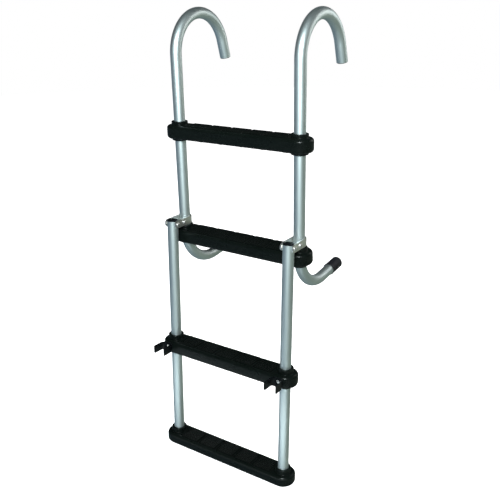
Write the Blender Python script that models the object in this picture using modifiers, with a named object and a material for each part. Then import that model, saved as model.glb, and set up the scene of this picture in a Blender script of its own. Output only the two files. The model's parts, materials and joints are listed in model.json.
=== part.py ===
"""Folding four-tread boat boarding ladder, hooked over the side of a boat.

The origin is the seat inside the crown of the two hooks, midway between them.
+X runs along the treads, +Y is the side of the hull and +Z is up.
The upper section is two bent rails with two treads. The lower section hangs
from two strap hinges and folds forward and up until its clips hold the rails.
"""

import math

import bmesh
import bpy
from mathutils import Matrix

# Tubes, in metres
TUBE_R = 0.0127
TUBE_WALL = 0.00165
TUBE_BEVEL = 6
GAP = 0.0003
RAIL_X = 0.1584

# Bent rails
HOOK_R = 0.088
HOOK_SWEEP = math.radians(163.3)
HOOK_TAIL = 0.0410
HOOK_STEPS = 16
STANDOFF_R = 0.095
STANDOFF_SWEEP = math.radians(96.1)
STANDOFF_TAIL = 0.080
STANDOFF_STEPS = 10
RAIL_Y = -HOOK_R
HOOK_Z = TUBE_R - HOOK_R
STANDOFF_Z = -0.4773

# Treads, measured down from the top of their collars; the second one is
# fixed where the rails begin to bend, so it leans with them
TREAD_1_Z = -0.2184
TREAD_2_Z = -0.4649
TREAD_2_LEAN = math.radians(4.8)
COLLAR_R = 0.0186
BARREL_H = 0.0435
LOWER_RISE = 0.003
BORE_R = TUBE_R + 1.5 * GAP
BODY_TOP = 0.008
BODY_H = 0.0308
FOOT_BODY_H = 0.0275
END_R = 0.0294
END_STEPS = 10
EDGE_R = 0.0075
EDGE_SEGMENTS = 2
PAD_PITCH = 0.054
PAD_GROOVE = 0.004
PAD_DEPTH = 0.047
PAD_H = 0.0017
PAD_COUNT = 5
SKIN = 0.0032
RIB = 0.003
FLOOR = 0.004

# Strap hinges
STRAP_T = 0.003
STRAP_H = 0.018
STRAP_IN = TUBE_R + GAP
STRAP_OUT = STRAP_IN + STRAP_T
PIVOT_Z = -0.4525
PIVOT_DROP = 0.0453
PIVOT_Y = RAIL_Y - PIVOT_DROP
CLAMP_Y = RAIL_Y - PIVOT_DROP / 2
BOLT_R = 0.003
BOLT_HOLE_R = 0.0032
BOLT_HEAD_R = 0.0048
BOLT_HEAD_H = 0.0031
NUT_DEPTH = 0.0021
SLEEVE_R = 0.005
SLEEVE_HOLE_R = 0.0053

# Lower section, measured along its tubes from the pivots
LOWER_TILT = math.radians(2.45)
LOWER_TOP = 0.0068
TREAD_3_DOWN = 0.2856
TREAD_4_DOWN = 0.5499

# Clips on the third tread
CLIP_IN = 0.0131
CLIP_T = 0.0028
CLIP_H = 0.0193
CLIP_REACH = 0.0200
CLIP_LIP = 0.0040
CLIP_FLARE = 0.0005
CLIP_DOWN = 0.0194
CLIP_BASE_HALF = 0.0105
CLIP_CORNER = 0.0022

# Plugs, tips and screws
PLUG_STEM_R = 0.0103
PLUG_FLANGE_R = 0.0125
TUBE_PLUG_H = 0.0046
HOOK_PLUG_H = 0.0019
HOOK_STEM = 0.008
TIP_R = 0.01475
TIP_BORE_R = 0.0131
TIP_LENGTH = 0.046
TIP_END = 0.004
SCREW_R = 0.0021
SCREW_HOLE_R = 0.0025
SCREW_HEAD_R = 0.0042
SCREW_TOP_R = 0.0029
SCREW_HEAD_H = 0.0022
SCREW_RECESS = 0.0015
SCREW_LENGTH = 0.020
HOLE_LENGTH = 0.032
CLIP_SCREW_LENGTH = 0.014
CLIP_HEAD_H = 0.0011

ROUND_STEPS = 20
SMALL_STEPS = 12
CORNER_STEPS = 4

# Half section of a low dome, as parts of its radius and height, from the middle out
DOME = ((0, 1), (0.6, 0.85), (0.93, 0.4))

# Stands an XY outline in the YZ plane
UPRIGHT = Matrix(((0, 0, 1, 0), (1, 0, 0, 0), (0, 1, 0, 0), (0, 0, 0, 1)))


def clear_scene():
    """Remove every object of the scene."""
    for obj in list(bpy.data.objects):
        bpy.data.objects.remove(obj, do_unlink=True)


def new_collection(name):
    """Add a collection to the scene."""
    collection = bpy.data.collections.new(name)
    bpy.context.scene.collection.children.link(collection)
    return collection


def material(name, colour, roughness, metallic):
    """Make a plain Principled material."""
    mat = bpy.data.materials.new(name)
    mat.use_nodes = True
    shader = mat.node_tree.nodes["Principled BSDF"]
    shader.inputs["Base Color"].default_value = (*colour, 1.0)
    shader.inputs["Roughness"].default_value = roughness
    shader.inputs["Metallic"].default_value = metallic
    return mat


def place(name, mesh, location=(0, 0, 0), rotation=(0, 0, 0), parent=None, mat=None):
    """Add a sub-part to the object's collection."""
    obj = bpy.data.objects.new(name, mesh)
    PARTS.objects.link(obj)
    obj.location = location
    obj.rotation_euler = rotation
    obj.parent = parent
    if mat:
        mesh.materials.append(mat.copy())
        mesh.materials[0].name = name
    return obj


def cutter(name, mesh, location=(0, 0, 0), rotation=(0, 0, 0), parent=None):
    """Add a helper shape that other shapes are cut by or joined with."""
    obj = bpy.data.objects.new(name, mesh)
    CUTTERS.objects.link(obj)
    obj.location = location
    obj.rotation_euler = rotation
    obj.parent = parent
    obj.hide_render = True
    obj.display_type = "WIRE"
    return obj


def combine(obj, other, operation):
    """Cut, join or intersect one shape with another."""
    mod = obj.modifiers.new(f"{operation}_{other.name}", "BOOLEAN")
    mod.operation = operation
    mod.solver = "EXACT"
    mod.object = other


def curve_mesh(name, curve):
    """Turn a curve into a welded mesh and remove the curve."""
    holder = bpy.data.objects.new(name, curve)
    bpy.context.scene.collection.objects.link(holder)
    bpy.context.view_layer.update()
    evaluated = holder.evaluated_get(bpy.context.evaluated_depsgraph_get())
    mesh = bpy.data.meshes.new_from_object(evaluated)
    mesh.name = name
    bpy.data.objects.remove(holder, do_unlink=True)
    bpy.data.curves.remove(curve)
    bm = bmesh.new()
    bm.from_mesh(mesh)
    bmesh.ops.remove_doubles(bm, verts=bm.verts, dist=0.00001)
    bmesh.ops.recalc_face_normals(bm, faces=bm.faces)
    bm.to_mesh(mesh)
    bm.free()
    mesh.materials.clear()
    return mesh


def outline_mesh(name, points, thickness):
    """Fill a flat outline and give it a thickness, half on each side of its plane."""
    curve = bpy.data.curves.new(name, "CURVE")
    curve.dimensions = "2D"
    curve.fill_mode = "BOTH"
    curve.extrude = thickness / 2
    spline = curve.splines.new("POLY")
    spline.points.add(len(points) - 1)
    for point, (x, y) in zip(spline.points, points):
        point.co = (x, y, 0, 1)
    spline.use_cyclic_u = True
    return curve_mesh(name, curve)


def tube_mesh(name, path, radius, capped):
    """Sweep a round section along a path of 3D points."""
    curve = bpy.data.curves.new(name, "CURVE")
    curve.dimensions = "3D"
    curve.bevel_depth = radius
    curve.bevel_resolution = TUBE_BEVEL
    curve.use_fill_caps = capped
    spline = curve.splines.new("POLY")
    spline.points.add(len(path) - 1)
    for point, position in zip(spline.points, path):
        point.co = (*position, 1)
    return curve_mesh(name, curve)


def cylinder_mesh(name, radius, length, steps=ROUND_STEPS):
    """Make a cylinder along Z, centred on its origin."""
    bm = bmesh.new()
    bmesh.ops.create_cone(bm, cap_ends=True, segments=steps, radius1=radius, radius2=radius, depth=length)
    mesh = bpy.data.meshes.new(name)
    bm.to_mesh(mesh)
    bm.free()
    return mesh


def boxes_mesh(name, boxes):
    """Make one mesh of separate boxes, each given by its centre and size."""
    bm = bmesh.new()
    for centre, size in boxes:
        verts = bmesh.ops.create_cube(bm, size=1)["verts"]
        bmesh.ops.scale(bm, vec=size, verts=verts)
        bmesh.ops.translate(bm, vec=centre, verts=verts)
    mesh = bpy.data.meshes.new(name)
    bm.to_mesh(mesh)
    bm.free()
    return mesh


def turned(obj, steps):
    """Turn an object's profile about its Z axis."""
    mod = obj.modifiers.new("turn", "SCREW")
    mod.axis = "Z"
    mod.steps = steps
    mod.render_steps = steps
    mod.use_merge_vertices = True
    mod.merge_threshold = 0.00001
    return obj


def profile_mesh(name, points, closed=False):
    """Make a profile of edges in the XZ plane."""
    bm = bmesh.new()
    verts = [bm.verts.new((x, 0, z)) for x, z in points]
    for a, b in zip(verts, verts[1:]):
        bm.edges.new((a, b))
    if closed:
        bm.edges.new((verts[-1], verts[0]))
    mesh = bpy.data.meshes.new(name)
    bm.to_mesh(mesh)
    bm.free()
    return mesh


def hollow(obj):
    """Give a tube its wall, inward from the outer skin."""
    mod = obj.modifiers.new("wall", "SOLIDIFY")
    mod.thickness = TUBE_WALL
    mod.offset = -1
    mod.use_even_offset = True


def round_edges(obj, width, segments):
    """Round the sharp edges of a shape."""
    mod = obj.modifiers.new("round", "BEVEL")
    mod.width = width
    mod.segments = segments
    mod.limit_method = "ANGLE"
    mod.angle_limit = math.radians(40)


def arc(centre, radius, start, sweep, steps):
    """List points along an arc, its first and last point included."""
    angles = [start + sweep * i / steps for i in range(steps + 1)]
    return [(centre[0] + radius * math.cos(a), centre[1] + radius * math.sin(a)) for a in angles]


def hook_path():
    """List the hook's centreline in the YZ plane, from its tip to the top of the rail."""
    bend = arc((0, HOOK_Z), HOOK_R, math.pi, -HOOK_SWEEP, HOOK_STEPS)
    y, z = bend[-1]
    tip = (y + HOOK_TAIL * math.sin(HOOK_SWEEP), z + HOOK_TAIL * math.cos(HOOK_SWEEP))
    return [tip] + bend[::-1]


def standoff_path():
    """List the stand-off's centreline in the YZ plane, from the rail to its end."""
    bend = arc((RAIL_Y + STANDOFF_R, STANDOFF_Z), STANDOFF_R, math.pi, STANDOFF_SWEEP, STANDOFF_STEPS)
    y, z = bend[-1]
    end = (y + STANDOFF_TAIL * math.sin(STANDOFF_SWEEP), z - STANDOFF_TAIL * math.cos(STANDOFF_SWEEP))
    return bend + [end]


def stadium(half_length, radius):
    """List a long outline with round ends."""
    right = arc((half_length, 0), radius, -math.pi / 2, math.pi, END_STEPS)
    left = arc((-half_length, 0), radius, math.pi / 2, math.pi, END_STEPS)
    return right + left


def u_outline(inner, outer, reach, flare, lip):
    """List a U outline open towards -Y, its legs ending in lips that flare out."""
    outside = arc((0, 0), outer, 0, math.pi, ROUND_STEPS // 2)
    inside = arc((0, 0), inner, math.pi, -math.pi, ROUND_STEPS // 2)
    if not flare:
        return outside + [(-outer, -reach), (-inner, -reach)] + inside + [(inner, -reach), (outer, -reach)]
    left = [(-outer, lip - reach), (-outer - flare, -reach), (-inner - flare, -reach), (-inner, lip - reach)]
    right = [(-x, y) for x, y in reversed(left)]
    return outside + left + inside + right


def side_name(side):
    """Name a side as seen by someone climbing the ladder."""
    return "right" if side > 0 else "left"


def make_rail(side, screw_cutters):
    """Make one rail: hook, straight rail and stand-off bent from a single tube."""
    name = f"rail_{side_name(side)}"
    path = [(0, y, z) for y, z in hook_path() + standoff_path()]
    rail = place(name, tube_mesh(name, path, TUBE_R, False), (side * RAIL_X, 0, 0), mat=ALUMINIUM)
    hollow(rail)
    for hole in screw_cutters:
        combine(rail, hole, "DIFFERENCE")
    return rail


def make_plug(name, location, rotation, parent, height, stem_length):
    """Make a plug: a domed flange on the tube's rim and a stem inside the tube."""
    profile = [(PLUG_FLANGE_R * x, height * z) for x, z in DOME]
    profile += [(PLUG_FLANGE_R, GAP), (PLUG_STEM_R, GAP), (PLUG_STEM_R, -stem_length), (0, -stem_length)]
    return turned(place(name, profile_mesh(name, profile), location, rotation, parent, BLACK), ROUND_STEPS)


def make_standoff_tip(side):
    """Make the soft cap that the stand-off rests on the hull with."""
    name = f"standoff_tip_{side_name(side)}"
    profile = [(0, TIP_END)] + arc((TIP_R - TIP_END, 0), TIP_END, math.pi / 2, -math.pi / 2, CORNER_STEPS)
    profile += [(TIP_R, TIP_END - TIP_LENGTH), (TIP_BORE_R, TIP_END - TIP_LENGTH), (TIP_BORE_R, 0), (0, 0)]
    y, z = standoff_path()[-1]
    along = (math.sin(STANDOFF_SWEEP), -math.cos(STANDOFF_SWEEP))
    location = (side * RAIL_X, y + GAP * along[0], z + GAP * along[1])
    rotation = (STANDOFF_SWEEP - math.pi, 0, 0)
    return turned(place(name, profile_mesh(name, profile), location, rotation, mat=VINYL), ROUND_STEPS)


def make_tread(name, location, parent, rise=0.0, foot=False, bent_tubes=()):
    """Make one tread: a ribbed body, a barrel for each tube and five raised pads."""
    body_h = FOOT_BODY_H if foot else BODY_H
    mid = BODY_TOP + body_h / 2
    body = outline_mesh(name, stadium(RAIL_X, END_R), body_h)
    body.transform(Matrix.Translation((0, 0, -mid)))
    tread = place(name, body, location, parent=parent, mat=BLACK)
    round_edges(tread, EDGE_R, EDGE_SEGMENTS)

    barrel_h = BODY_TOP + body_h if foot else BARREL_H
    bore_h = barrel_h if foot else barrel_h + 2 * FLOOR
    for side in (-1, 1):
        where = f"{name}_{side_name(side)}"
        x = side * RAIL_X
        barrel_at = (location[0] + x, location[1], location[2] + (rise - barrel_h) / 2)
        barrel = cylinder_mesh("barrel", COLLAR_R, barrel_h + rise)
        barrel = cutter(f"{where}_barrel", barrel, barrel_at, parent=parent)
        combine(tread, barrel, "UNION")

    pad_x = [(i - (PAD_COUNT - 1) / 2) * PAD_PITCH for i in range(PAD_COUNT)]
    pad_size = (PAD_PITCH - PAD_GROOVE, PAD_DEPTH, 2 * PAD_H)
    pads = boxes_mesh("pads", [((x, 0, -BODY_TOP), pad_size) for x in pad_x])
    combine(tread, cutter(f"{name}_pads", pads, location, parent=parent), "UNION")

    pocket_h = body_h - SKIN + FLOOR
    pocket_z = -BODY_TOP - SKIN - pocket_h / 2
    pocket_size = (PAD_PITCH - RIB, 2 * (END_R - SKIN), pocket_h)
    if not foot:
        pockets = boxes_mesh("pockets", [((x, 0, pocket_z), pocket_size) for x in pad_x])
        combine(tread, cutter(f"{name}_pockets", pockets, location, parent=parent), "DIFFERENCE")

    holes = []
    for side in (-1, 1):
        where = f"{name}_{side_name(side)}"
        x = location[0] + side * RAIL_X
        if bent_tubes:
            bore = bent_tubes[side]
        else:
            bore_at = (x, location[1], location[2] + FLOOR - bore_h / 2)
            bore = cutter(f"{where}_bore", cylinder_mesh("bore", BORE_R, bore_h), bore_at, parent=parent)
        combine(tread, bore, "DIFFERENCE")
        hole_at = (x, location[1] + TUBE_R + SCREW_LENGTH / 2, location[2] - mid)
        hole = cutter(f"{where}_screw_hole", hole_mesh(), hole_at, (math.pi / 2, 0, 0), parent)
        combine(tread, hole, "DIFFERENCE")
        recess_at = (x, location[1] + END_R, location[2] - mid)
        recess = cutter(f"{where}_recess", recess_mesh(), recess_at, (math.pi / 2, 0, 0), parent)
        combine(tread, recess, "DIFFERENCE")
        screw_at = (x, location[1] + END_R - SCREW_RECESS + GAP, location[2] - mid)
        make_screw(f"{where}_screw", screw_at, (-math.pi / 2, 0, 0), parent, SCREW_LENGTH, SCREW_HEAD_H)
        holes.append(hole)
    return holes


def hole_mesh():
    """Make the cutter for a screw's hole, which also reaches into the tube behind it."""
    return cylinder_mesh("hole", SCREW_HOLE_R, HOLE_LENGTH, SMALL_STEPS)


def recess_mesh():
    """Make the cutter for a screw head's recess, half of it outside the face."""
    return cylinder_mesh("recess", SCREW_HEAD_R + GAP, 2 * SCREW_RECESS, SMALL_STEPS)


def make_screw(name, location, rotation, parent, length, head_h):
    """Make a pan-head screw with its head on the local +Z side."""
    profile = [
        (0, head_h),
        (SCREW_TOP_R, head_h),
        (SCREW_HEAD_R, head_h / 2),
        (SCREW_HEAD_R, 0),
        (SCREW_R, 0),
        (SCREW_R, -length + SCREW_R),
        (0, -length),
    ]
    screw = place(name, profile_mesh(name, profile), location, rotation, parent, STAINLESS)
    return turned(screw, SMALL_STEPS)


def make_strap(side, pivot_hole, clamp_hole):
    """Make the stainless strap that wraps the rail and carries the lower tube."""
    name = f"hinge_strap_{side_name(side)}"
    location = (side * RAIL_X, RAIL_Y, PIVOT_Z)
    reach = PIVOT_DROP + STRAP_H
    strap = place(name, outline_mesh(name, u_outline(STRAP_IN, STRAP_OUT, reach, 0, 0), STRAP_H), location,
                  mat=STAINLESS)
    ear = arc((-PIVOT_DROP, 0), STRAP_H / 2, math.pi / 2, math.pi, ROUND_STEPS // 2)
    back = [(STRAP_H, -STRAP_H / 2 - GAP), (STRAP_H, STRAP_H / 2 + GAP)]
    ear = [(y, z + GAP if z > 0 else z - GAP) for y, z in ear]
    side_view = outline_mesh("ear", ear + back, 4 * STRAP_OUT)
    side_view.transform(UPRIGHT)
    combine(strap, cutter(f"{name}_ear", side_view, location), "INTERSECT")
    combine(strap, pivot_hole, "DIFFERENCE")
    combine(strap, clamp_hole, "DIFFERENCE")
    return strap


def make_bolt_and_nut(kind, side, y):
    """Make a bolt through both ears of a strap, its domed head outboard, and its domed nut."""
    where = side_name(side)
    half = STRAP_OUT + GAP
    dome = [(BOLT_HEAD_R * x, BOLT_HEAD_H * z) for x, z in DOME] + [(BOLT_HEAD_R, 0)]
    end = -2 * half - NUT_DEPTH + GAP
    name = f"{kind}_bolt_{where}"
    bolt_at = (side * (RAIL_X + half), y, PIVOT_Z)
    bolt = profile_mesh(name, dome + [(BOLT_R, 0), (BOLT_R, end), (0, end)])
    turned(place(name, bolt, bolt_at, (0, side * math.pi / 2, 0), mat=STAINLESS), ROUND_STEPS)
    name = f"{kind}_nut_{where}"
    nut_at = (side * (RAIL_X - half), y, PIVOT_Z)
    nut = profile_mesh(name, dome + [(BOLT_HOLE_R, 0), (BOLT_HOLE_R, NUT_DEPTH), (0, NUT_DEPTH)])
    turned(place(name, nut, nut_at, (0, -side * math.pi / 2, 0), mat=STAINLESS), ROUND_STEPS)


def make_hinge(side, fold):
    """Make one hinge: strap, pivot bolt, clamp bolt, nuts and the sleeve in the lower tube."""
    where = side_name(side)
    sideways = (0, math.pi / 2, 0)
    hole = cylinder_mesh("bolt_hole", BOLT_HOLE_R, 4 * STRAP_OUT)
    pivot_hole = cutter(f"pivot_hole_{where}", hole, (side * RAIL_X, PIVOT_Y, PIVOT_Z), sideways)
    clamp_hole = cutter(f"clamp_hole_{where}", hole, (side * RAIL_X, CLAMP_Y, PIVOT_Z), sideways)
    make_strap(side, pivot_hole, clamp_hole)
    make_bolt_and_nut("pivot", side, PIVOT_Y)
    make_bolt_and_nut("clamp", side, CLAMP_Y)
    half = STRAP_IN - GAP
    ring = [(SLEEVE_R, half), (SLEEVE_R, -half), (BOLT_HOLE_R, -half), (BOLT_HOLE_R, half)]
    name = f"pivot_sleeve_{where}"
    sleeve = profile_mesh(name, ring, closed=True)
    turned(place(name, sleeve, (side * RAIL_X, 0, 0), sideways, fold, NYLON), ROUND_STEPS)


def make_lower_tube(side, fold, screw_cutters):
    """Make one straight tube of the lower section, with its pivot holes and top plug."""
    where = side_name(side)
    name = f"lower_tube_{where}"
    bottom = -(TREAD_4_DOWN + BODY_TOP + FOOT_BODY_H - 1.5 * FLOOR)
    path = [(0, 0, bottom), (0, 0, LOWER_TOP)]
    at = (side * RAIL_X, 0, 0)
    tube = place(name, tube_mesh(name, path, TUBE_R, False), at, parent=fold, mat=ALUMINIUM)
    hollow(tube)
    sleeve_hole = cutter(f"sleeve_hole_{where}", cylinder_mesh("sleeve_hole", SLEEVE_HOLE_R, 4 * TUBE_R),
                         at, (0, math.pi / 2, 0), fold)
    combine(tube, sleeve_hole, "DIFFERENCE")
    for hole in screw_cutters:
        combine(tube, hole, "DIFFERENCE")
    stem = LOWER_TOP - SLEEVE_R - GAP
    make_plug(f"tube_plug_{where}", (side * RAIL_X, 0, LOWER_TOP), (0, 0, 0), fold, TUBE_PLUG_H, stem)


def make_clip(side, fold):
    """Make the clip that snaps round the rail when the ladder is folded, and its screw."""
    where = side_name(side)
    name = f"rail_clip_{where}"
    location = (side * RAIL_X, -PIVOT_DROP, -TREAD_3_DOWN - CLIP_DOWN)
    outline = u_outline(CLIP_IN, CLIP_IN + CLIP_T, CLIP_REACH, CLIP_FLARE, CLIP_LIP)
    clip = place(name, outline_mesh(name, outline, CLIP_H), location, parent=fold, mat=BLACK)
    back = PIVOT_DROP - END_R - GAP
    base_t = back - CLIP_IN
    base = boxes_mesh("clip_base", [((0, back - base_t / 2, 0), (2 * CLIP_BASE_HALF, base_t, CLIP_H))])
    combine(clip, cutter(f"{name}_base", base, location, parent=fold), "UNION")
    cavity = cutter(f"{name}_cavity", cylinder_mesh("cavity", CLIP_IN, 2 * CLIP_H, 2 * ROUND_STEPS), location,
                    parent=fold)
    combine(clip, cavity, "DIFFERENCE")

    front, half, corner = GAP - CLIP_REACH, CLIP_H / 2, CLIP_CORNER
    side_view = arc((front + corner, half - corner), corner, math.pi / 2, math.pi / 2, CORNER_STEPS)
    side_view += arc((front + corner, corner - half), corner, math.pi, math.pi / 2, CORNER_STEPS)
    side_view = [(y, z + GAP if z > 0 else z - GAP) for y, z in side_view]
    side_view += [(back + CLIP_T, -half - GAP), (back + CLIP_T, half + GAP)]
    trim = outline_mesh("trim", side_view, 4 * CLIP_REACH)
    trim.transform(UPRIGHT)
    combine(clip, cutter(f"{name}_trim", trim, location, parent=fold), "INTERSECT")

    facing = (math.pi / 2, 0, 0)
    seat_y = location[1] + CLIP_IN
    recess = cutter(f"{name}_recess", recess_mesh(), (location[0], seat_y, location[2]), facing, fold)
    combine(clip, recess, "DIFFERENCE")
    hole = cutter(f"{name}_hole", hole_mesh(), (location[0], seat_y, location[2]), facing, fold)
    combine(clip, hole, "DIFFERENCE")
    screw_at = (location[0], seat_y + SCREW_RECESS - GAP, location[2])
    make_screw(f"clip_screw_{where}", screw_at, facing, fold, CLIP_SCREW_LENGTH, CLIP_HEAD_H)
    return hole


def build_ladder():
    """Put the whole ladder together."""
    fold = bpy.data.objects.new("fold_axis", None)
    PARTS.objects.link(fold)
    fold.location = (0, PIVOT_Y, PIVOT_Z)
    fold.rotation_euler = (-LOWER_TILT, 0, 0)

    lean = bpy.data.objects.new("tread_2_lean", None)
    PARTS.objects.link(lean)
    lean.location = (0, RAIL_Y, TREAD_2_Z)
    lean.rotation_euler = (TREAD_2_LEAN, 0, 0)

    bent_tubes = {}
    for side in (-1, 1):
        path = [(0, y, z) for y, z in [(RAIL_Y, TREAD_2_Z + 2 * FLOOR)] + standoff_path()]
        mesh = tube_mesh("bent_bore", path, TUBE_R + GAP, True)
        bent_tubes[side] = cutter(f"bent_bore_{side_name(side)}", mesh, (side * RAIL_X, 0, 0))

    tread_1_holes = make_tread("tread_1", (0, RAIL_Y, TREAD_1_Z), None)
    tread_2_holes = make_tread("tread_2", (0, 0, 0), lean, bent_tubes=bent_tubes)
    tread_3_holes = make_tread("tread_3", (0, 0, -TREAD_3_DOWN), fold, LOWER_RISE)
    tread_4_holes = make_tread("tread_4", (0, 0, -TREAD_4_DOWN), fold, LOWER_RISE, foot=True)

    tip_y, tip_z = hook_path()[0]
    for index, side in enumerate((-1, 1)):
        make_rail(side, (tread_1_holes[index], tread_2_holes[index]))
        tip = (side * RAIL_X, tip_y, tip_z)
        make_plug(f"hook_plug_{side_name(side)}", tip, (-HOOK_SWEEP, 0, 0), None, HOOK_PLUG_H, HOOK_STEM)
        make_standoff_tip(side)
        make_hinge(side, fold)
        make_lower_tube(side, fold, (tread_3_holes[index], tread_4_holes[index]))
        hole = make_clip(side, fold)
        combine(bpy.data.objects["tread_3"], hole, "DIFFERENCE")


clear_scene()
PARTS = new_collection("boat_boarding_ladder")
CUTTERS = new_collection("cutters")
ALUMINIUM = material("aluminium", (0.62, 0.66, 0.68), 0.34, 1.0)
STAINLESS = material("stainless", (0.72, 0.72, 0.70), 0.2, 1.0)
BLACK = material("black_plastic", (0.012, 0.016, 0.015), 0.45, 0.0)
VINYL = material("vinyl", (0.02, 0.022, 0.026), 0.6, 0.0)
NYLON = material("nylon", (0.75, 0.74, 0.7), 0.5, 0.0)
build_ladder()
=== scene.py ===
"""Looks of the folding boat boarding ladder: fine meshes, materials, camera, floor and light."""

import math

import bmesh
import bpy
from mathutils import Matrix, Vector
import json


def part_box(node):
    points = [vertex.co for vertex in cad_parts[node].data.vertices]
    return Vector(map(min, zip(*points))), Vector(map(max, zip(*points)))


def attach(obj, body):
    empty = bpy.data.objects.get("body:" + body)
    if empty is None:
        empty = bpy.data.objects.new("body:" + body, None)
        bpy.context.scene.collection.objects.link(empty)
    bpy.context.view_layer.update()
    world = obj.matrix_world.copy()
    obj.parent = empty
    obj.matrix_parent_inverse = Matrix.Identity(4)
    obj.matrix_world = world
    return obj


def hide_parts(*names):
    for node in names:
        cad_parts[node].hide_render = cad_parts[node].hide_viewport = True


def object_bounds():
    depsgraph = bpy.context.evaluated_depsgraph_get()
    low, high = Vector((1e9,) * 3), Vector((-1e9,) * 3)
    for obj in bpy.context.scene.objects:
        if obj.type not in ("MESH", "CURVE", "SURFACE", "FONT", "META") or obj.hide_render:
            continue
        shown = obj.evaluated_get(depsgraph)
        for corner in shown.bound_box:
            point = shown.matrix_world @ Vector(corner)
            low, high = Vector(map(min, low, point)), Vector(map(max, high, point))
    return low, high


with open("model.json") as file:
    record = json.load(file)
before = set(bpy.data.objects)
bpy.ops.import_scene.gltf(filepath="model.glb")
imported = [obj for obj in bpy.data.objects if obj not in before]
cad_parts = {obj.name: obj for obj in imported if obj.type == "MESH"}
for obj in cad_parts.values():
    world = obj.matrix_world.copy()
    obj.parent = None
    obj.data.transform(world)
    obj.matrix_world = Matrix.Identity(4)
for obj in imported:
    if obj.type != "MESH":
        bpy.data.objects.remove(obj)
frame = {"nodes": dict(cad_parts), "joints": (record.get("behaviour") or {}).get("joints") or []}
CAD_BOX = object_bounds()

SIDES = {"left": -1, "right": 1}

# Sizes shared with the solids, in metres
GAP = 0.0003
TUBE_R = 0.0127
TUBE_WALL = 0.00165
RAIL_X = sum(v.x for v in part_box("lower_tube_right")) / 2
RAIL_Y = sum(v.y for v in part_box("tread_1")) / 2
HOOK_R = -RAIL_Y
HOOK_Z = TUBE_R - HOOK_R
HOOK_SWEEP = math.radians(163.3)
HOOK_TAIL = 0.0410
STANDOFF_R = 0.095
STANDOFF_Z = -0.4773
STANDOFF_SWEEP = math.radians(96.1)
STANDOFF_TAIL = 0.080
PIVOT = Vector(frame["joints"][0]["pos_m"])
PIVOT_DROP = RAIL_Y - PIVOT.y
LOWER_TILT = math.radians(2.45)
LOWER = Matrix.Translation((0, PIVOT.y, PIVOT.z)) @ Matrix.Rotation(-LOWER_TILT, 4, "X")
LOWER_TOP = 0.0068
TREAD_1_Z = -0.2184
TREAD_2_Z = -0.4649
TREAD_2_LEAN = math.radians(4.8)
TREAD_3_DOWN = 0.2856
TREAD_4_DOWN = 0.5499
COLLAR_R = 0.0186
BARREL_H = 0.0435
LOWER_RISE = 0.003
BODY_TOP = 0.008
BODY_H = 0.0308
FOOT_BODY_H = 0.0275
END_R = 0.0294
EDGE_R = 0.0075
PAD_PITCH = 0.054
PAD_GROOVE = 0.004
PAD_DEPTH = 0.047
PAD_H = 0.0017
PAD_COUNT = 5
SKIN = 0.0032
RIB = 0.003
FLOOR = 0.004
STRAP_T = 0.003
STRAP_H = 0.018
STRAP_IN = TUBE_R + GAP
STRAP_OUT = STRAP_IN + STRAP_T
BOLT_R = 0.003
BOLT_HOLE_R = 0.0032
BOLT_HEAD_R = 0.0048
BOLT_HEAD_H = 0.0031
NUT_DEPTH = 0.0021
SLEEVE_HOLE_R = 0.0053
CLIP_IN = 0.0131
CLIP_T = 0.0028
CLIP_H = 0.0193
CLIP_REACH = 0.0200
CLIP_LIP = 0.0040
CLIP_FLARE = 0.0005
CLIP_DOWN = 0.0194
CLIP_BASE_HALF = 0.0105
CLIP_CORNER = 0.0022
PLUG_STEM_R = 0.0103
PLUG_FLANGE_R = 0.0125
TUBE_PLUG_H = 0.0046
HOOK_PLUG_H = 0.0019
HOOK_STEM = 0.008
TIP_R = 0.01475
TIP_BORE_R = 0.0131
TIP_LENGTH = 0.046
TIP_END = 0.004
SCREW_R = 0.0021
SCREW_HOLE_R = 0.0025
SCREW_HEAD_R = 0.0042
SCREW_HEAD_H = 0.0022
SCREW_RECESS = 0.0015
SCREW_LENGTH = 0.020
CLIP_SCREW_LENGTH = 0.014
CLIP_HEAD_H = 0.0011

# Small details that only the fine meshes have
COLLAR_LIP = 0.0011
COLLAR_FLARE = 0.0014
BURY = 0.003
PAD_CORNER = 0.003
PAD_EDGE = 0.0007
POCKET_CORNER = 0.003
GRIP_MARGIN = 0.0014
GRIP_H = 0.0005
DIAMOND_X = 0.0042
DIAMOND_Y = 0.0034
DIAMOND_FOOT = 0.47
DIAMOND_TIP = 0.24
DIAMOND_BURY = 0.0002
HEAD_EASE = 0.0005
SOCKET_R = 0.0017
STRAP_EDGE = 0.0004
CLIP_EDGE = 0.0005
BEAD = 0.0022
BEAD_STEP = 0.0004

# Fineness of the round shapes
TUBE_SIDES = 64
ROUND_SIDES = 64
SMALL_SIDES = 40
HOOK_STEPS = 72
STANDOFF_STEPS = 48
WRAP_STEPS = 48
END_STEPS = 32
EAR_STEPS = 24
HEAD_STEPS = 10
EDGE_STEPS = 8
CORNER_STEPS = 5
PAD_EDGE_STEPS = 4
BEVEL_ANGLE = math.radians(40)

# name: place of the top of its collars, body, height of its plastic body
TREADS = {
    "tread_1": (Matrix.Translation((0, RAIL_Y, TREAD_1_Z)), "upper_section", BODY_H),
    "tread_2": (Matrix.Translation((0, RAIL_Y, TREAD_2_Z)) @ Matrix.Rotation(TREAD_2_LEAN, 4, "X"),
                "upper_section", BODY_H),
    "tread_3": (LOWER @ Matrix.Translation((0, 0, -TREAD_3_DOWN)), "lower_section", BODY_H),
    "tread_4": (LOWER @ Matrix.Translation((0, 0, -TREAD_4_DOWN)), "lower_section", FOOT_BODY_H),
}
FOOT = "tread_4"


# ---------------------------------------------------------------- node helpers

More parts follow.
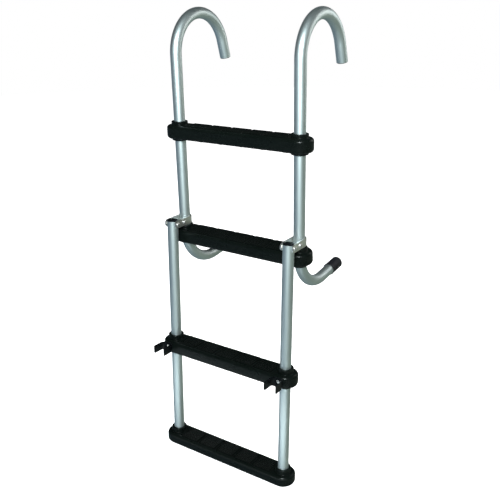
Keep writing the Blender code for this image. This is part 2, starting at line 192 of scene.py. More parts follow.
class Nodes:
    """Builds a node tree with short calls."""

    def __init__(self, tree):
        self.tree = tree

    def add(self, kind, **values):
        node = self.tree.nodes.new(kind)
        for key, value in values.items():
            setattr(node, key, value)
        return node

    def put(self, socket, value):
        """Set a socket to a number, a colour or another node's output."""
        if isinstance(value, tuple):
            socket.default_value = (*value, 1.0) if socket.type == "RGBA" else value
        elif isinstance(value, (int, float)):
            socket.default_value = value
        else:
            self.tree.links.new(value, socket)

    def noise(self, vector, scale=1.0, detail=3.0, rough=0.5):
        node = self.add("ShaderNodeTexNoise")
        for name, value in (("Vector", vector), ("Scale", scale), ("Detail", detail), ("Roughness", rough)):
            self.put(node.inputs[name], value)
        return node.outputs["Fac"]

    def stretch(self, vector, scale):
        node = self.add("ShaderNodeMapping")
        self.put(node.inputs["Vector"], vector)
        self.put(node.inputs["Scale"], scale)
        return node.outputs["Vector"]

    def remap(self, value, low, high, to_low=0.0, to_high=1.0, smooth=False):
        node = self.add("ShaderNodeMapRange", interpolation_type="SMOOTHSTEP" if smooth else "LINEAR")
        values = (value, low, high, to_low, to_high)
        for name, number in zip(("Value", "From Min", "From Max", "To Min", "To Max"), values):
            self.put(node.inputs[name], number)
        return node.outputs["Result"]

    def mix(self, factor, first, second):
        node = self.add("ShaderNodeMix", data_type="RGBA")
        sockets = [s for s in node.inputs if s.enabled]
        for socket, value in zip(sockets, (factor, first, second)):
            self.put(socket, value)
        return next(s for s in node.outputs if s.enabled)

    def vector(self, operation, first, second=None):
        node = self.add("ShaderNodeVectorMath", operation=operation)
        self.put(node.inputs[0], first)
        if second is not None:
            self.put(node.inputs[1], second)
        return node.outputs["Value" if operation in ("DOT_PRODUCT", "LENGTH") else "Vector"]

    def sum(self, first, second):
        node = self.add("ShaderNodeMath", operation="ADD")
        self.put(node.inputs[0], first)
        self.put(node.inputs[1], second)
        return node.outputs["Value"]

    def bump(self, height, strength, distance, under=None):
        node = self.add("ShaderNodeBump")
        values = {"Strength": strength, "Distance": distance, "Height": height}
        for name, value in values.items():
            self.put(node.inputs[name], value)
        if under:
            self.put(node.inputs["Normal"], under)
        return node.outputs["Normal"]


def new_material(name):
    """Make an empty Principled material and return it with its nodes and shader."""
    mat = bpy.data.materials.new(name)
    mat.use_nodes = True
    return mat, Nodes(mat.node_tree), mat.node_tree.nodes["Principled BSDF"]


def dress(nodes, shader, **values):
    """Set the shader's sockets by name."""
    for name, value in values.items():
        nodes.put(shader.inputs[name.replace("_", " ")], value)


def anodised(name):
    """Satin anodised tube: fine draw lines along it, cloudy tone and a few scuffs."""
    mat, n, shader = new_material(name)
    along = n.add("ShaderNodeUVMap", uv_map="along").outputs["UV"]
    lines = n.noise(n.stretch(along, (2600, 9, 1)), 1.0, 4.0, 0.6)
    cloud = n.noise(n.stretch(along, (60, 14, 1)), 1.0, 3.0, 0.55)
    scuffs = n.noise(n.stretch(along, (90, 420, 1)), 1.0, 2.0, 0.7)
    tone = n.mix(n.remap(cloud, 0.35, 0.7), (0.58, 0.655, 0.665), (0.65, 0.72, 0.72))
    tone = n.mix(n.remap(scuffs, 0.66, 0.78, 0, 0.3), tone, (0.44, 0.49, 0.48))
    rough = n.sum(n.remap(lines, 0.3, 0.7, 0.47, 0.56), n.remap(scuffs, 0.62, 0.8, 0.0, 0.1))
    dress(n, shader, Base_Color=tone, Metallic=1.0, Roughness=rough, Normal=n.bump(lines, 0.05, 0.0002))
    return mat


def stainless(name):
    """Polished stainless sheet and fasteners with fine scratches and faint warm stains."""
    mat, n, shader = new_material(name)
    coords = n.add("ShaderNodeTexCoord").outputs["Object"]
    grain = n.noise(n.stretch(coords, (300, 300, 2600)), 1.0, 4.0, 0.6)
    cloud = n.noise(coords, 90, 3.0)
    tone = n.mix(n.remap(cloud, 0.35, 0.7), (0.78, 0.77, 0.74), (0.90, 0.90, 0.89))
    rough = n.remap(grain, 0.3, 0.7, 0.32, 0.44)
    dress(n, shader, Base_Color=tone, Metallic=1.0, Roughness=rough, Normal=n.bump(grain, 0.06, 0.0001))
    return mat


def moulded(name, dark, light, rough_low, rough_high, grain_size, grain_depth, specular):
    """Moulded plastic: fine grain, faint flow marks and light specks, partly greyed wear and partly painted
    glints.
    """
    mat, n, shader = new_material(name)
    coords = n.add("ShaderNodeTexCoord").outputs["Object"]
    grain = n.noise(coords, 1.0 / grain_size, 2.0, 0.6)
    flow = n.noise(n.stretch(coords, (9, 30, 30)), 1.0, 4.0, 0.6)
    dust_and_painted_glints = n.noise(coords, 260, 5.0, 0.7)
    tone = n.mix(n.remap(flow, 0.3, 0.7), dark, light)
    # Light specks: partly dust and wear, partly painted glints.
    tone = n.mix(n.remap(dust_and_painted_glints, 0.6, 0.8, 0, 0.10), tone, (0.025, 0.028, 0.024))
    rough = n.remap(flow, 0.3, 0.7, rough_low, rough_high)
    normal = n.bump(flow, 0.12, 0.0006, n.bump(grain, 0.3, grain_depth))
    dress(n, shader, Base_Color=tone, Roughness=rough, Normal=normal, Specular_IOR_Level=specular)
    return mat


# ---------------------------------------------------------------- mesh helpers

def mesh_from(bm, name):
    """Turn a bmesh into a mesh whose faces point outwards."""
    bmesh.ops.recalc_face_normals(bm, faces=bm.faces)
    mesh = bpy.data.meshes.new(name)
    bm.to_mesh(mesh)
    bm.free()
    return mesh


def piece(name, mesh, mat):
    """Add an object with one material to the scene."""
    mesh.materials.clear()
    mesh.materials.append(mat)
    obj = bpy.data.objects.new(name, mesh)
    bpy.context.scene.collection.objects.link(obj)
    return obj


def settle(obj):
    """Apply an object's modifiers."""
    bpy.context.view_layer.update()
    evaluated = obj.evaluated_get(bpy.context.evaluated_depsgraph_get())
    mesh = bpy.data.meshes.new_from_object(evaluated)
    obj.modifiers.clear()
    old, obj.data = obj.data, mesh
    bpy.data.meshes.remove(old)


def combine(obj, mesh, operation="DIFFERENCE"):
    """Cut or join an object with a mesh given in its own axes."""
    other = bpy.data.objects.new("other", mesh)
    bpy.context.scene.collection.objects.link(other)
    mod = obj.modifiers.new("shape", "BOOLEAN")
    mod.operation, mod.solver, mod.object = operation, "EXACT", other
    settle(obj)
    bpy.data.objects.remove(other)
    bpy.data.meshes.remove(mesh)


def smooth(obj, angle=30.0, bevel=0.0):
    """Smooth an object's shading up to an angle, with rounded edges where asked."""
    if bevel:
        mod = obj.modifiers.new("edges", "BEVEL")
        mod.width, mod.segments, mod.limit_method = bevel, 2, "ANGLE"
        mod.angle_limit = BEVEL_ANGLE
        settle(obj)
    obj.data.shade_smooth()
    obj.data.set_sharp_from_angle(angle=math.radians(angle))
    mod = obj.modifiers.new("normals", "WEIGHTED_NORMAL")
    mod.keep_sharp = True
    settle(obj)
    return obj


def place(obj, matrix, body, slot, *nodes):
    """Put a piece in its place, hang it on its body and hide the parts it stands in for."""
    obj.matrix_world = matrix
    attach(obj, body)
    if nodes:
        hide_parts(*nodes)
    return obj


def at(x, y, z):
    """Make a translation."""
    return Matrix.Translation((x, y, z))


def arc(centre, radius, start, sweep, steps):
    """List points along an arc, its first and last point included."""
    angles = [start + sweep * i / steps for i in range(steps + 1)]
    return [(centre[0] + radius * math.cos(a), centre[1] + radius * math.sin(a)) for a in angles]


def loft(bm, rings, uv=None, closed=False):
    """Join rings of equal length into a closed body; uv gives the (around, along) of a ring and corner."""
    rows = [[bm.verts.new(p) for p in ring] for ring in rings]
    sides = len(rows[0])
    layer = bm.loops.layers.uv.get("along") or bm.loops.layers.uv.new("along")
    for i in range(len(rows) if closed else len(rows) - 1):
        first, second = rows[i], rows[(i + 1) % len(rows)]
        for j in range(sides):
            k = (j + 1) % sides
            face = bm.faces.new((first[j], first[k], second[k], second[j]))
            if uv:
                for loop, (a, b) in zip(face.loops, ((i, j), (i, j + 1), (i + 1, j + 1), (i + 1, j))):
                    loop[layer].uv = uv(a, b)
    if not closed:
        bm.faces.new(rows[0][::-1])
        bm.faces.new(rows[-1])


def turn_profile(bm, profile, sides, matrix=Matrix()):
    """Turn a closed profile of (radius, height) about Z; a radius of 0 is a pole."""
    rows = []
    for radius, height in profile:
        if radius == 0:
            rows.append([bm.verts.new(matrix @ Vector((0, 0, height)))])
        else:
            rows.append([bm.verts.new(matrix @ Vector((x, y, height)))
                         for x, y in arc((0, 0), radius, 0, 2 * math.pi, sides)[:-1]])
    pairs = list(zip(rows, rows[1:]))
    if profile[0][0] and profile[-1][0]:
        pairs.append((rows[-1], rows[0]))
    for first, second in pairs:
        for j in range(sides):
            k = (j + 1) % sides
            corners = dict.fromkeys((first[j % len(first)], first[k % len(first)],
                                     second[k % len(second)], second[j % len(second)]))
            if len(corners) > 2:
                bm.faces.new(list(corners))


def turned(name, profile, mat, sides=ROUND_SIDES):
    """Make a turned piece."""
    bm = bmesh.new()
    turn_profile(bm, profile, sides)
    return smooth(piece(name, mesh_from(bm, name), mat))


def prism(outline, low, high, axes=Matrix()):
    """Make a closed mesh from an outline in the XY plane, standing between two heights."""
    bm = bmesh.new()
    loft(bm, [[axes @ Vector((x, y, z)) for x, y in outline] for z in (low, high)])
    return mesh_from(bm, "prism")


def rods(radius, low, high, matrices):
    """Make one mesh of separate rods along the local Z of each matrix."""
    bm = bmesh.new()
    for matrix in matrices:
        turn_profile(bm, [(0, low), (radius, low), (radius, high), (0, high)], SMALL_SIDES, matrix)
    return mesh_from(bm, "rods")


def joined(meshes):
    """Put several meshes into one and remove them."""
    bm = bmesh.new()
    for mesh in meshes:
        bm.from_mesh(mesh)
        bpy.data.meshes.remove(mesh)
    return mesh_from(bm, "joined")


SIDEWAYS = Matrix.Rotation(math.pi / 2, 4, "Y")
FORWARD = Matrix.Rotation(math.pi / 2, 4, "X")
BACKWARD = Matrix.Rotation(-math.pi / 2, 4, "X")
# Stands an XY outline in the YZ plane
UPRIGHT = Matrix(((0, 0, 1, 0), (1, 0, 0, 0), (0, 1, 0, 0), (0, 0, 0, 1)))


# ---------------------------------------------------------------- tubes

def hook_path():
    """List the hook's centreline from its tip to the top of the rail."""
    bend = arc((0, HOOK_Z), HOOK_R, math.pi, -HOOK_SWEEP, HOOK_STEPS)
    y, z = bend[-1]
    tip = (y + HOOK_TAIL * math.sin(HOOK_SWEEP), z + HOOK_TAIL * math.cos(HOOK_SWEEP))
    return [tip] + bend[::-1]


def standoff_path():
    """List the stand-off's centreline from the rail to its end."""
    bend = arc((RAIL_Y + STANDOFF_R, STANDOFF_Z), STANDOFF_R, math.pi, STANDOFF_SWEEP, STANDOFF_STEPS)
    y, z = bend[-1]
    end = (y + STANDOFF_TAIL * math.sin(STANDOFF_SWEEP), z - STANDOFF_TAIL * math.cos(STANDOFF_SWEEP))
    return bend + [end]


def sweep_rings(path, radius):
    """List the round sections along a path in the YZ plane."""
    rings = []
    for i, (y, z) in enumerate(path):
        tangent = Vector(path[min(i + 1, len(path) - 1)]) - Vector(path[max(i - 1, 0)])
        normal = Vector((-tangent.y, tangent.x)).normalized()
        ring = []
        for a, b in arc((0, 0), radius, 0, 2 * math.pi, TUBE_SIDES)[:-1]:
            ring.append(Vector((b, y + normal.x * a, z + normal.y * a)))
        rings.append(ring)
    return rings


def tube(name, path, mat):
    """Sweep a hollow tube along a path, its rims eased, with texture coordinates in metres."""
    ends = []
    for end, inside in ((path[0], path[1]), (path[-1], path[-2])):
        ends.append(tuple(Vector(end) + (Vector(inside) - Vector(end)).normalized() * GAP))
    path = [path[0], ends[0]] + path[1:-1] + [ends[1], path[-1]]
    along = [0.0]
    for before, after in zip(path, path[1:]):
        along.append(along[-1] + (Vector(after) - Vector(before)).length)
    outer, inner = sweep_rings(path, TUBE_R), sweep_rings(path, TUBE_R - TUBE_WALL)
    eased = sweep_rings(path, TUBE_R - GAP)
    outer[0], outer[-1] = eased[0], eased[-1]
    rings = outer + inner[::-1]
    along += along[::-1] + along[:1]
    bm = bmesh.new()
    loft(bm, rings, uv=lambda i, j: (TUBE_R * 2 * math.pi * j / TUBE_SIDES, along[i]), closed=True)
    return piece(name, mesh_from(bm, name), mat)


def make_tubes(mat):
    """Make the bent rails and the straight lower tubes."""
    bottom = FLOOR * 1.5 - TREAD_4_DOWN - BODY_TOP - FOOT_BODY_H
    for where, side in SIDES.items():
        x = side * RAIL_X
        rail = smooth(tube(f"bent_rail_{where}", hook_path() + standoff_path(), mat))
        place(rail, at(x, 0, 0), "upper_section", "tube", f"rail_{where}")
        lower = tube(f"straight_tube_{where}", [(0, bottom), (0, LOWER_TOP)], mat)
        combine(lower, rods(SLEEVE_HOLE_R, -2 * TUBE_R, 2 * TUBE_R, [SIDEWAYS]))
        place(smooth(lower), LOWER @ at(x, 0, 0), "lower_section", "tube", f"lower_tube_{where}")


# ---------------------------------------------------------------- treads

def stadium(radius):
    """List a long outline with round ends."""
    right = arc((RAIL_X, 0), radius, -math.pi / 2, math.pi, END_STEPS)
    left = arc((-RAIL_X, 0), radius, math.pi / 2, math.pi, END_STEPS)
    return right + left


def body_mesh(body_h):
    """Make a tread's body, its top and bottom edges rounded."""
    top, low = -BODY_TOP, -BODY_TOP - body_h
    inset = END_R - EDGE_R
    levels = arc((inset, top - EDGE_R), EDGE_R, math.pi / 2, -math.pi / 2, EDGE_STEPS)
    levels += arc((inset, low + EDGE_R), EDGE_R, 0, -math.pi / 2, EDGE_STEPS)
    bm = bmesh.new()
    loft(bm, [[(x, y, z) for x, y in stadium(radius)] for radius, z in levels])
    return mesh_from(bm, "body")


def barrel_mesh(body_h, foot, rise):
    """Make both barrels: an eased lip, and a fillet where each leaves the body."""
    low, inner, end = -BODY_TOP - body_h, COLLAR_R - COLLAR_LIP, COLLAR_R + COLLAR_FLARE
    upper = [(0, rise)] + arc((inner, rise - COLLAR_LIP), COLLAR_LIP, math.pi / 2, -math.pi / 2, EDGE_STEPS)
    upper += arc((end, COLLAR_FLARE - BODY_TOP), COLLAR_FLARE, math.pi, math.pi / 2, EDGE_STEPS)
    if foot:
        profile = upper + [(end, -BODY_TOP - BURY), (0, -BODY_TOP - BURY)]
    else:
        lower = arc((end, low - COLLAR_FLARE), COLLAR_FLARE, math.pi / 2, math.pi / 2, EDGE_STEPS)
        lower += arc((inner, COLLAR_LIP - BARREL_H), COLLAR_LIP, 0, -math.pi / 2, EDGE_STEPS)
        profile = upper + [(end, low + BURY)] + lower + [(0, -BARREL_H)]
    bm = bmesh.new()
    for side in SIDES.values():
        turn_profile(bm, profile, ROUND_SIDES, at(side * RAIL_X, 0, 0))
    return mesh_from(bm, "barrels")


def rounded_rectangle(half_x, half_y, corner):
    """List a rectangle's outline with round corners."""
    points = []
    for i, (sx, sy) in enumerate(((1, 1), (-1, 1), (-1, -1), (1, -1))):
        centre = (sx * (half_x - corner), sy * (half_y - corner))
        points += arc(centre, corner, i * math.pi / 2, math.pi / 2, CORNER_STEPS)
    return points


def add_pad(bm, x, half_x, half_y, low, top):
    """Add a pad whose upright corners and top edges are rounded."""
    edge = arc((0, 0), PAD_EDGE, 0, math.pi / 2, PAD_EDGE_STEPS)
    levels = [(0, low)] + [(PAD_EDGE - a, top - PAD_EDGE + b) for a, b in edge]
    rings = []
    for inset, z in levels:
        outline = rounded_rectangle(half_x - inset, half_y - inset, PAD_CORNER - inset)
        rings.append([(x + px, py, z) for px, py in outline])
    loft(bm, rings)


def pads_x():
    """List the middles of a tread's pads."""
    return [(i - (PAD_COUNT - 1) / 2) * PAD_PITCH for i in range(PAD_COUNT)]


def add_diamonds(bm, x, width, depth, top):
    """Cover a pad with small raised diamonds in staggered rows."""
    rows = int(depth / DIAMOND_Y) * 2 - 1
    for row in range(rows):
        y = (row - (rows - 1) / 2) * DIAMOND_Y / 2
        count = int(width / DIAMOND_X) - row % 2
        for i in range(count):
            middle = x + (i - (count - 1) / 2) * DIAMOND_X
            rings = []
            for scale, z in ((DIAMOND_FOOT, -DIAMOND_BURY), (DIAMOND_TIP, top)):
                rings.append([(middle + dx * scale * DIAMOND_X, y + dy * scale * DIAMOND_Y, z)
                              for dx, dy in ((1, 0), (0, 1), (-1, 0), (0, -1))])
            loft(bm, rings)


def pocket_mesh(body_h):
    """Make the cutters for the pockets under a tread, their corners rounded."""
    meshes = []
    half_x, half_y = (PAD_PITCH - RIB) / 2, END_R - SKIN
    for x in pads_x():
        outline = [(x + px, py) for px, py in rounded_rectangle(half_x, half_y, POCKET_CORNER)]
        meshes.append(prism(outline, -BODY_TOP - body_h - FLOOR, -BODY_TOP - SKIN))
    return joined(meshes)


def screw_hole_mesh(mid):
    """Make the cutters for a tread's screw holes and the recesses for their heads."""
    recess_r, start, end = SCREW_HEAD_R + GAP, TUBE_R - FLOOR, END_R + SCREW_RECESS
    profile = [(0, start), (SCREW_HOLE_R, start), (SCREW_HOLE_R, END_R - SCREW_RECESS),
               (recess_r, END_R - SCREW_RECESS), (recess_r, end), (0, end)]
    bm = bmesh.new()
    for side in SIDES.values():
        turn_profile(bm, profile, SMALL_SIDES, at(side * RAIL_X, 0, -mid) @ BACKWARD)
    return mesh_from(bm, "screw_holes")


def bore_mesh(name, matrix, body_h):
    """Make the cutters that let the two tubes through a tread."""
    if name == "tread_2":
        back = matrix.inverted()
        path = [(RAIL_Y, matrix.translation.z + 2 * FLOOR)] + standoff_path()
        bm = bmesh.new()
        for side in SIDES.values():
            rings = sweep_rings(path, TUBE_R + GAP)
            loft(bm, [[back @ (p + Vector((side * RAIL_X, 0, 0))) for p in ring] for ring in rings])
        return mesh_from(bm, "bores")
    low = FLOOR - BODY_TOP - body_h if name == FOOT else -BARREL_H - FLOOR
    return rods(TUBE_R + 1.5 * GAP, low, FLOOR, [at(side * RAIL_X, 0, 0) for side in SIDES.values()])


def make_tread(name, mats):
    """Make a tread: body with barrels, holes and pockets, and the pads with their grip."""
    matrix, body, body_h = TREADS[name]
    foot = name == FOOT
    tread = piece(f"{name}_body", body_mesh(body_h), mats["tread"])
    combine(tread, barrel_mesh(body_h, foot, LOWER_RISE if body == "lower_section" else 0.0), "UNION")
    if not foot:
        combine(tread, pocket_mesh(body_h))
    combine(tread, bore_mesh(name, matrix, body_h))
    combine(tread, screw_hole_mesh(BODY_TOP + body_h / 2))
    place(smooth(tread, 35), matrix, body, "tread", name)

    half_x, half_y = (PAD_PITCH - PAD_GROOVE) / 2, PAD_DEPTH / 2
    top = PAD_H - BODY_TOP - GRIP_H
    bm = bmesh.new()
    for x in pads_x():
        add_pad(bm, x, half_x, half_y, -BODY_TOP - GRIP_H, top)
    place(smooth(piece(f"{name}_pads", mesh_from(bm, "pads"), mats["pad"])), matrix, body, "tread")
    bm = bmesh.new()
    for x in pads_x():
        add_diamonds(bm, x, 2 * (half_x - GRIP_MARGIN), 2 * (half_y - GRIP_MARGIN), GRIP_H)
    place(piece(f"{name}_grip", mesh_from(bm, "grip"), mats["pad"]), matrix @ at(0, 0, top), body, "tread")


# ---------------------------------------------------------------- hinges

def strap_mesh():
    """Make the strip of the strap, wrapped round the rail, its ears still square."""
    outside = arc((0, 0), STRAP_OUT, 0, math.pi, WRAP_STEPS)
    inside = arc((0, 0), STRAP_IN, math.pi, -math.pi, WRAP_STEPS)
    reach = PIVOT_DROP + STRAP_H
    outline = outside + [(-STRAP_OUT, -reach), (-STRAP_IN, -reach)] + inside
    outline += [(STRAP_IN, -reach), (STRAP_OUT, -reach)]
    return prism(outline, -STRAP_H / 2, STRAP_H / 2)


def make_strap(where, side, mat):
    """Make one strap with its rounded ears and bolt holes."""
    strap = piece(f"strap_{where}", strap_mesh(), mat)
    half = STRAP_H / 2
    ear = arc((-PIVOT_DROP, 0), half, math.pi / 2, math.pi, EAR_STEPS)
    ear = [(y, z + GAP if z > 0 else z - GAP) for y, z in ear]
    ear += [(STRAP_H, -half - GAP), (STRAP_H, half + GAP)]
    combine(strap, prism(ear, -2 * STRAP_OUT, 2 * STRAP_OUT, UPRIGHT), "INTERSECT")
    holes = [at(0, y, 0) @ SIDEWAYS for y in (-PIVOT_DROP, -PIVOT_DROP / 2)]
    combine(strap, rods(BOLT_HOLE_R, -2 * STRAP_OUT, 2 * STRAP_OUT, holes))
    smooth(strap, bevel=STRAP_EDGE)
    place(strap, at(side * RAIL_X, RAIL_Y, PIVOT.z), "upper_section", "steel", f"hinge_strap_{where}")


def dome(radius, height):
    """List the half section of a round head, from its top down to its eased edge."""
    rise = height - HEAD_EASE
    turns = [math.pi / 2 * i / HEAD_STEPS for i in range(1, HEAD_STEPS + 1)]
    top = [(0, height)] + [(radius * math.sin(a), HEAD_EASE + rise * math.cos(a)) for a in turns]
    return top + [(radius, HEAD_EASE * 0.4), (radius - HEAD_EASE * 0.6, 0)]


def make_bolts(where, side, mat):
    """Make the pivot bolt and the clamp bolt with their domed nuts."""
    half = STRAP_OUT + GAP
    end = GAP - 2 * half - NUT_DEPTH
    for kind, y in (("pivot", PIVOT.y), ("clamp", RAIL_Y - PIVOT_DROP / 2)):
        head = dome(BOLT_HEAD_R, BOLT_HEAD_H)
        profile = head + [(BOLT_R, 0), (BOLT_R, end + GAP), (BOLT_R - GAP, end), (0, end)]
        bolt = turned(f"{kind}_bolt_{where}_fine", profile, mat)
        socket = arc((0, 0), SOCKET_R, 0, 2 * math.pi, 6)[:-1]
        combine(bolt, prism(socket, BOLT_HEAD_H * 0.45, BOLT_HEAD_H * 2))
        outwards = Matrix.Rotation(side * math.pi / 2, 4, "Y")
        place(smooth(bolt), at(side * (RAIL_X + half), y, PIVOT.z) @ outwards,
              "upper_section", "steel", f"{kind}_bolt_{where}")
        profile = head + [(BOLT_HOLE_R, 0), (BOLT_HOLE_R, NUT_DEPTH), (0, NUT_DEPTH)]
        nut = turned(f"{kind}_nut_{where}_fine", profile, mat)
        place(nut, at(side * (RAIL_X - half), y, PIVOT.z) @ Matrix.Rotation(-side * math.pi / 2, 4, "Y"),
              "upper_section", "steel", f"{kind}_nut_{where}")


# ---------------------------------------------------------------- clips and screws

def screw(name, head_h, length, mat):
    """Make a pan-head screw with a cross recess."""
    r = SCREW_HEAD_R
    turns = [math.pi / 2 * i / EDGE_STEPS for i in range(EDGE_STEPS + 1)]
    profile = [(0, head_h)]
    profile += [(r * (0.55 + 0.45 * math.sin(a)), head_h * (0.45 + 0.55 * math.cos(a))) for a in turns]
    profile += [(r, 0), (SCREW_R, 0), (SCREW_R, SCREW_R - length), (0, -length)]
    obj = turned(name, profile, mat, SMALL_SIDES)
    wide, thin = r * 0.55, r * 0.14
    cross = []
    for i in range(4):
        c, s = round(math.cos(i * math.pi / 2)), round(math.sin(i * math.pi / 2))
        cross += [(c * x - s * y, s * x + c * y) for x, y in ((wide, -thin), (wide, thin), (thin, thin))]
    combine(obj, prism(cross, head_h * 0.35, head_h * 2))
    return smooth(obj)


def make_screws(mats):
    """Make the tread screws, put in from the back."""
    for name, (matrix, body, body_h) in TREADS.items():
        for where, side in SIDES.items():
            obj = screw(f"{name}_{where}_screw_fine", SCREW_HEAD_H, SCREW_LENGTH, mats["steel"])
            seat = at(side * RAIL_X, END_R - SCREW_RECESS + GAP, -BODY_TOP - body_h / 2)
            place(obj, matrix @ seat @ BACKWARD, body, "steel", f"{name}_{where}_screw")


def make_clip(where, side, mats):
    """Make a rail clip, one body with its base, and its screw."""
    outer, half = CLIP_IN + CLIP_T, CLIP_H / 2
    left = [(-outer, CLIP_LIP - CLIP_REACH), (-outer - CLIP_FLARE, -CLIP_REACH),
            (-CLIP_IN - CLIP_FLARE, -CLIP_REACH), (-CLIP_IN, CLIP_LIP - CLIP_REACH)]
    outline = arc((0, 0), outer, 0, math.pi, WRAP_STEPS) + left
    outline += arc((0, 0), CLIP_IN, math.pi, -math.pi, WRAP_STEPS) + [(-x, y) for x, y in reversed(left)]
    clip = piece(f"clip_{where}", prism(outline, -half, half), mats["trim"])
    back = PIVOT_DROP - END_R - GAP
    base = [(-CLIP_BASE_HALF, CLIP_IN - CLIP_T), (CLIP_BASE_HALF, CLIP_IN - CLIP_T), (CLIP_BASE_HALF, back),
            (-CLIP_BASE_HALF, back)]
    combine(clip, prism(base, -half, half), "UNION")
    combine(clip, rods(CLIP_IN, -CLIP_H, CLIP_H, [Matrix()]))
    front = GAP - CLIP_REACH + CLIP_CORNER
    side_view = arc((front, half - CLIP_CORNER), CLIP_CORNER, math.pi / 2, math.pi / 2, EDGE_STEPS)
    side_view += arc((front, CLIP_CORNER - half), CLIP_CORNER, math.pi, math.pi / 2, EDGE_STEPS)
    side_view = [(y, z + GAP if z > 0 else z - GAP) for y, z in side_view]
    side_view += [(back + CLIP_T, -half - GAP), (back + CLIP_T, half + GAP)]
    combine(clip, prism(side_view, -2 * CLIP_REACH, 2 * CLIP_REACH, UPRIGHT), "INTERSECT")
    bm = bmesh.new()
    seat_y, recess_r = CLIP_IN + SCREW_RECESS, SCREW_HEAD_R + GAP
    profile = [(0, -back - FLOOR), (SCREW_HOLE_R, -back - FLOOR), (SCREW_HOLE_R, -seat_y)]
    profile += [(recess_r, -seat_y), (recess_r, SCREW_RECESS - CLIP_IN), (0, SCREW_RECESS - CLIP_IN)]
    turn_profile(bm, profile, SMALL_SIDES, FORWARD)
    combine(clip, mesh_from(bm, "screw_seat"))
    smooth(clip, bevel=CLIP_EDGE)
    matrix = LOWER @ at(side * RAIL_X, -PIVOT_DROP, -TREAD_3_DOWN - CLIP_DOWN)
    place(clip, matrix, "lower_section", "black_trim", f"rail_clip_{where}")
    obj = screw(f"clip_screw_{where}_fine", CLIP_HEAD_H, CLIP_SCREW_LENGTH, mats["steel"])
    place(obj, matrix @ at(0, seat_y - GAP, 0) @ FORWARD, "lower_section", "steel", f"clip_screw_{where}")


# ---------------------------------------------------------------- plugs and tips

def make_plug(name, height, stem, matrix, body, node, mat):
    """Make a plug: a domed flange on the tube's rim and a stem inside it."""
    profile = dome(PLUG_FLANGE_R, height)[:-2]
    profile += [(PLUG_FLANGE_R, GAP), (PLUG_STEM_R, GAP), (PLUG_STEM_R, -stem), (0, -stem)]
    place(turned(name, profile, mat), matrix, body, "black_trim", node)


def make_tip(where, side, mat):
    """Make the soft tip of a stand-off, with a bead at its open end."""
    end_y, end_z = standoff_path()[-1]
    start, wall = TIP_END - TIP_LENGTH, TIP_R - BEAD_STEP
    profile = [(0, TIP_END)] + arc((wall - TIP_END, 0), TIP_END, math.pi / 2, -math.pi / 2, HEAD_STEPS)
    profile += [(wall, start + BEAD + BEAD_STEP), (TIP_R, start + BEAD)]
    profile += [(TIP_R, start + BEAD_STEP), (wall, start)]
    profile += [(TIP_BORE_R, start), (TIP_BORE_R, 0), (0, 0)]
    along = Vector((0, math.sin(STANDOFF_SWEEP), -math.cos(STANDOFF_SWEEP)))
    matrix = Matrix.Translation(Vector((side * RAIL_X, end_y, end_z)) + along * GAP)
    turn = Matrix.Rotation(STANDOFF_SWEEP - math.pi, 4, "X")
    tip = turned(f"soft_tip_{where}", profile, mat)
    place(tip, matrix @ turn, "upper_section", "vinyl", f"standoff_tip_{where}")


def make_ends(mats):
    """Make the tube plugs, the hook plugs and the soft tips."""
    tip_y, tip_z = hook_path()[0]
    for where, side in SIDES.items():
        x = side * RAIL_X
        stem = LOWER_TOP - SLEEVE_HOLE_R - GAP
        top = LOWER @ at(x, 0, LOWER_TOP)
        make_plug(f"plug_{where}", TUBE_PLUG_H, stem, top, "lower_section", f"tube_plug_{where}",
                  mats["trim"])
        tip = at(x, tip_y, tip_z) @ Matrix.Rotation(-HOOK_SWEEP, 4, "X")
        make_plug(f"hook_end_{where}", HOOK_PLUG_H, HOOK_STEM, tip, "upper_section", f"hook_plug_{where}",
                  mats["trim"])
        make_tip(where, side, mats["vinyl"])


# ---------------------------------------------------------------- studio

CAMERA_AT = Vector((0.8196, -1.2429, 0.0216))
CAMERA_YAW = math.radians(31.7216)
CAMERA_PITCH = math.radians(20.2530)
CAMERA_ROLL = math.radians(-0.2336)
CAMERA_LENS = 46.92
CAMERA_SHIFT = (-0.0571, -0.0029)
FLOOR_R = 8.0
FLOOR_DROP = 0.001

# name: place, target, size, power in watts, colour
LIGHTS = {
    "key": ((0.95, -1.75, 0.55), (0, -0.1, -0.3), (0.5, 0.5), 76, (0.90, 0.99, 1.0)),
    "fill": ((0.0, -0.42, -1.02), (-0.05, -0.15, -0.88), (1.0, 0.06), 0.8, (0.88, 0.98, 1.0)),
    "rim": ((0.9, 1.2, 0.2), (0, 0.05, -0.5), (0.8, 0.8), 5, (1.0, 1.0, 0.97)),
    "top": ((0.3, -0.3, 2.6), (0, 0, -1.0), (3.0, 3.0), 160, (1.0, 1.0, 1.0)),
}


def make_floor(level):
    """Make a pale round floor that glows, less around the ladder's foot than further out: a painted contact
    shadow.
    """
    bm = bmesh.new()
    bmesh.ops.create_circle(bm, cap_ends=True, segments=96, radius=FLOOR_R)
    mat, n, shader = new_material("floor")
    coords = n.add("ShaderNodeTexCoord").outputs["Object"]
    # Glow dimmed near the middle, around the ladder's foot: a painted contact shadow on the floor.
    glow_with_painted_shadow = n.remap(n.vector("LENGTH", coords), 0.2, 2.0, 0.72, 1.05, smooth=True)
    dress(n, shader, Base_Color=(0.9, 0.9, 0.9), Roughness=0.9, Emission_Color=(1.0, 1.0, 1.0),
          Emission_Strength=glow_with_painted_shadow)
    floor = piece("floor", mesh_from(bm, "floor"), mat)
    floor.location.z = level
    floor.visible_glossy = False


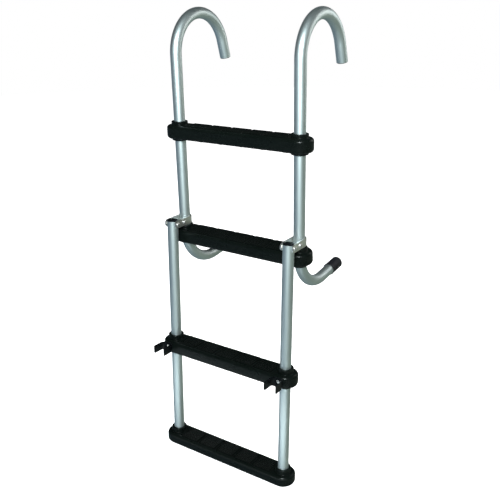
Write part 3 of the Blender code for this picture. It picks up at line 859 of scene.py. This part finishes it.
def make_world():
    """Make a world that the camera sees as white and that lights dimly, least from above the horizon."""
    world = bpy.data.worlds.new("studio")
    bpy.context.scene.world = world
    world.use_nodes = True
    n = Nodes(world.node_tree)
    background = world.node_tree.nodes["Background"]
    way = n.add("ShaderNodeTexCoord").outputs["Generated"]
    rightwards = (math.cos(CAMERA_YAW), math.sin(CAMERA_YAW), 0)
    right = n.remap(n.vector("DOT_PRODUCT", way, rightwards), -0.7, 0.7)
    low = n.mix(right, (0.14, 0.20, 0.26), (0.21, 0.25, 0.20))
    height = n.remap(n.vector("DOT_PRODUCT", way, (0, 0, 1)), -0.05, 0.12, smooth=True)
    around = n.mix(height, low, (0.02, 0.022, 0.022))
    seen = n.add("ShaderNodeLightPath").outputs["Is Camera Ray"]
    n.put(background.inputs["Color"], n.mix(seen, around, (1.0, 1.0, 1.0)))
    background.inputs["Strength"].default_value = 1.0


def area_light(name, location, target, size, power, colour):
    """Add a soft rectangular light aimed at a point."""
    data = bpy.data.lights.new(name, "AREA")
    data.shape = "RECTANGLE"
    data.size, data.size_y = size
    data.energy = power
    data.color = colour
    light = bpy.data.objects.new(name, data)
    bpy.context.scene.collection.objects.link(light)
    light.location = location
    light.rotation_euler = (Vector(target) - Vector(location)).to_track_quat("-Z", "Y").to_euler()
    return light


def make_camera():
    """Set the camera up where a person stands to the right and looks a little down."""
    data = bpy.data.cameras.new("camera")
    data.lens = CAMERA_LENS
    data.sensor_width = 36
    data.shift_x, data.shift_y = CAMERA_SHIFT
    data.clip_end = 50
    camera = bpy.data.objects.new("camera", data)
    bpy.context.scene.collection.objects.link(camera)
    camera.location = CAMERA_AT
    turn = Matrix.Rotation(CAMERA_YAW, 3, "Z") @ Matrix.Rotation(math.pi / 2 - CAMERA_PITCH, 3, "X")
    camera.rotation_euler = (turn @ Matrix.Rotation(CAMERA_ROLL, 3, "Z")).to_euler()
    bpy.context.scene.camera = camera


MATS = {
    "tube": anodised("anodised_tube"),
    "steel": stainless("stainless_steel"),
    "tread": moulded("tread_plastic", (0.0015, 0.0026, 0.0022), (0.0026, 0.0040, 0.0035), 0.24, 0.34,
                     0.0006, 0.0001, 0.12),
    "pad": moulded("tread_pad_plastic", (0.0012, 0.0020, 0.0017), (0.0022, 0.0032, 0.0028), 0.30, 0.42,
                   0.0005, 0.0002, 0.04),
    "trim": moulded("trim_plastic", (0.0015, 0.0022, 0.0026), (0.0028, 0.0036, 0.0042), 0.22, 0.32,
                    0.0005, 0.0001, 0.12),
    "vinyl": moulded("soft_vinyl", (0.004, 0.0042, 0.006), (0.007, 0.0075, 0.010), 0.5, 0.65,
                     0.0004, 0.0002, 0.2),
    "nylon": moulded("nylon", (0.62, 0.61, 0.57), (0.7, 0.69, 0.65), 0.4, 0.5, 0.0005, 0.0001, 0.4),
}

make_tubes(MATS["tube"])
for tread in TREADS:
    make_tread(tread, MATS)
for where, side in SIDES.items():
    make_strap(where, side, MATS["steel"])
    make_bolts(where, side, MATS["steel"])
    make_clip(where, side, MATS)
    sleeve = frame["nodes"][f"pivot_sleeve_{where}"].data
    sleeve.materials.clear()
    sleeve.materials.append(MATS["nylon"])
make_screws(MATS)
make_ends(MATS)

bpy.context.scene.view_settings.view_transform = "Standard"
make_floor(CAD_BOX[0][2] - FLOOR_DROP)
make_world()
lights = {name: area_light(name, *values) for name, values in LIGHTS.items()}
lights["fill"].visible_camera = False
lights["rim"].visible_camera = False
lights["top"].visible_glossy = False
make_camera()
